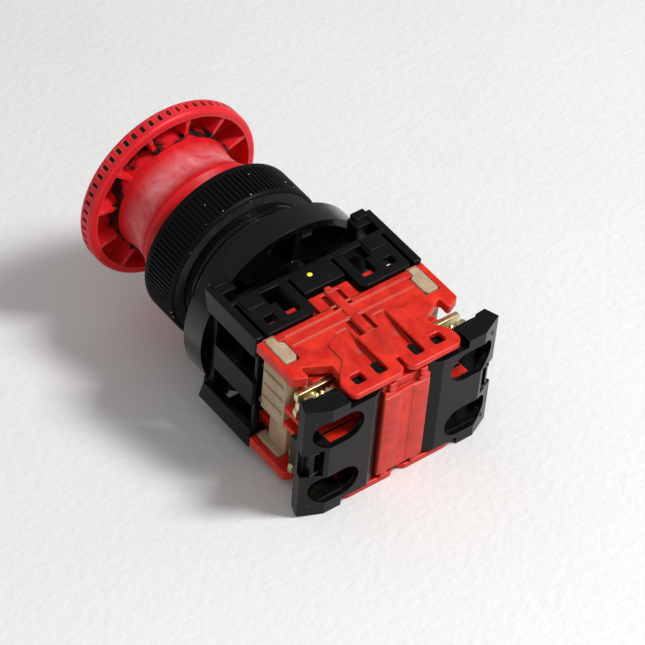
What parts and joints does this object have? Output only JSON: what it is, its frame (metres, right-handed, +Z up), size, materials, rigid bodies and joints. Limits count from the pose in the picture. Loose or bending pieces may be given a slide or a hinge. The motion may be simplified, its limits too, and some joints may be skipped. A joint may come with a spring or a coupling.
{
  "type": "emergency stop button",
  "caption": "Panel-mounted emergency stop button with a mushroom head, knurled ring nut, mounting flange, latch frame and a two-pole contact block.",
  "frame": {"origin": "centre of the neck at the flange's front face, which lies against the rear of the panel", "axes": "-Y along the button axis towards the head, +Z up, +X across the base"},
  "size_m": [0.0452, 0.0815, 0.041],
  "materials": {
    "red_plastic": "worn semi-gloss moulded plastic",
    "red_block": "slightly translucent moulded plastic",
    "black_plastic": "satin moulded plastic",
    "cover_plastic": "satin moulded plastic",
    "nylon": "natural nylon",
    "rubber": "soft seal rubber",
    "steel": "drawn spring steel",
    "brass": "yellow chromate plating",
    "silver": "silver contact rivets"
  },
  "bodies": {
    "housing": {"neck_housing": "black_plastic", "lock_sleeve": "black_plastic", "return_spring": "steel", "base_frame": "black_plastic", "contact_block": "red_block", "locking_clip_left": "nylon", "locking_clip_right": "nylon", "contact_spring_left": "steel", "contact_spring_right": "steel", "terminal_upper_left": "brass", "terminal_lower_left": "brass", "terminal_upper_right": "brass", "terminal_lower_right": "brass", "terminal_screws": "brass", "clamp_washers": "brass", "terminal_cover_left": "cover_plastic", "terminal_cover_right": "cover_plastic"},
    "pusher": {"push_shaft": "nylon", "actuator_yoke": "black_plastic", "latch_spring": "steel"},
    "head": {"mushroom_head": "red_plastic", "head_skirt": "red_plastic", "skirt_seal": "rubber"},
    "latch_left": {"latch_pin_left": "steel"},
    "latch_right": {"latch_pin_right": "steel"},
    "pole_left": {"plunger_left": "nylon", "contact_bridge_left": "brass", "moving_tips_left": "silver"},
    "pole_right": {"plunger_right": "nylon", "contact_bridge_right": "brass", "moving_tips_right": "silver"},
    "washer": {"sealing_washer": "rubber"},
    "ring": {"ring_nut": "black_plastic"}
  },
  "joints": [
    {"name": "head_push", "type": "slide", "parent": "housing", "child": "pusher", "axis": [0, 1, 0], "range_m": [0, 0.004], "stiffness_N_per_m": 1500, "springref_m": -0.006, "deforming": ["return_spring"]},
    {"name": "head_turn", "type": "hinge", "parent": "pusher", "child": "head", "pos_m": [0, 0, 0], "axis": [0, 1, 0], "range_deg": [0, 45], "stiffness_Nm_per_rad": 0.05, "springref_deg": -11.46},
    {"name": "latch_left_slide", "type": "slide", "parent": "pusher", "child": "latch_left", "axis": [1, 0, 0], "range_m": [0, 0.0007], "deforming": ["latch_spring"]},
    {"name": "latch_right_slide", "type": "slide", "parent": "pusher", "child": "latch_right", "axis": [-1, 0, 0], "range_m": [0, 0.0007]},
    {"name": "plunger_left_slide", "type": "slide", "parent": "housing", "child": "pole_left", "axis": [0, 1, 0], "range_m": [0, 0.004], "deforming": ["contact_spring_left"]},
    {"name": "plunger_right_slide", "type": "slide", "parent": "housing", "child": "pole_right", "axis": [0, 1, 0], "range_m": [0, 0.004], "deforming": ["contact_spring_right"]},
    {"name": "washer_travel", "type": "slide", "parent": "housing", "child": "washer", "axis": [0, 1, 0], "range_m": [0, 0.006]},
    {"name": "ring_turn", "type": "hinge", "parent": "washer", "child": "ring", "pos_m": [0, 0, 0], "axis": [0, 1, 0], "range_deg": [0, 1440]}
  ],
  "couplings": [
    {"joint": "latch_left_slide", "follows": "head_push", "ratio": 0.175},
    {"joint": "latch_right_slide", "follows": "head_push", "ratio": 0.175},
    {"joint": "plunger_left_slide", "follows": "head_push", "ratio": 1},
    {"joint": "plunger_right_slide", "follows": "head_push", "ratio": 1},
    {"joint": "washer_travel", "follows": "ring_turn", "m_per_rad": 0.00023873}
  ]
}
